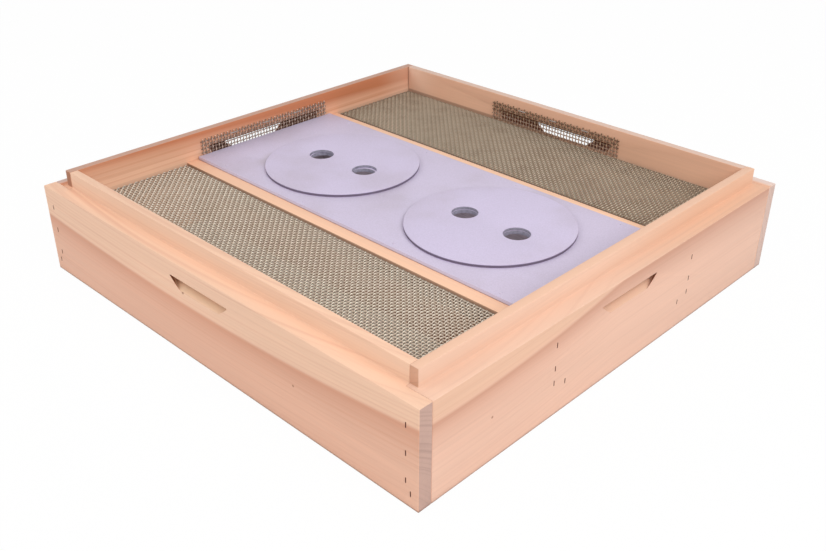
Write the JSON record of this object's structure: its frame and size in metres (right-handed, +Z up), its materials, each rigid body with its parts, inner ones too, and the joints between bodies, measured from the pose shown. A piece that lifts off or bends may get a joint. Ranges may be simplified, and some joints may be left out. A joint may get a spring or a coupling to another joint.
{
  "type": "hive top feeder",
  "caption": "Shallow square wooden hive box with a drilled feeding deck, round turning covers over the bee holes, screened bays and slanted vent slots in the walls.",
  "frame": {"origin": "middle of the underside, on the plane that the box rests on", "axes": "+Z up, X along the dividers, -Y towards the front board"},
  "size_m": [0.5086, 0.5086, 0.1075],
  "materials": {
    "board_wood": "planed and bare",
    "divider_wood": "sawn and bare",
    "sheet": "matte sheet",
    "cover_sheet": "matte sheet",
    "peg": "matte",
    "washer": "zinc plated",
    "screen_wire": "galvanised wire",
    "frame_staple": "dull wire",
    "screen_staple": "bright wire",
    "brad": "dull steel"
  },
  "bodies": {
    "box": {"front_board": "board_wood", "back_board": "board_wood", "left_board": "board_wood", "right_board": "board_wood", "front_divider": "divider_wood", "back_divider": "divider_wood", "centre_panel": "sheet", "front_screen": "screen_wire", "back_screen": "screen_wire", "front_vent_screen": "screen_wire", "back_vent_screen": "screen_wire", "left_vent_screen": "screen_wire", "right_vent_screen": "screen_wire", "front_left_corner_staples": "frame_staple", "front_right_corner_staples": "frame_staple", "back_left_corner_staples": "frame_staple", "back_right_corner_staples": "frame_staple", "front_divider_left_staples": "frame_staple", "front_divider_right_staples": "frame_staple", "back_divider_left_staples": "frame_staple", "back_divider_right_staples": "frame_staple", "front_screen_staples": "screen_staple", "back_screen_staples": "screen_staple", "front_vent_staples": "screen_staple", "back_vent_staples": "screen_staple", "left_vent_staples": "screen_staple", "right_vent_staples": "screen_staple", "panel_brads": "brad"},
    "left_pivot": {"left_pivot": "peg", "left_pivot_washer": "washer"},
    "left_cover": {"left_cover": "cover_sheet"},
    "right_pivot": {"right_pivot": "peg", "right_pivot_washer": "washer"},
    "right_cover": {"right_cover": "cover_sheet"}
  },
  "joints": [
    {"name": "left_cover_turn", "type": "hinge", "parent": "box", "child": "left_pivot", "pos_m": [-0.101, 0, 0.0818], "axis": [0, 0, 1], "continuous": true},
    {"name": "left_cover_lift", "type": "slide", "parent": "left_pivot", "child": "left_cover", "axis": [0, 0, 1], "range_m": [0, 0.1]},
    {"name": "right_cover_turn", "type": "hinge", "parent": "box", "child": "right_pivot", "pos_m": [0.101, 0, 0.0818], "axis": [0, 0, 1], "continuous": true},
    {"name": "right_cover_lift", "type": "slide", "parent": "right_pivot", "child": "right_cover", "axis": [0, 0, 1], "range_m": [0, 0.1]}
  ]
}
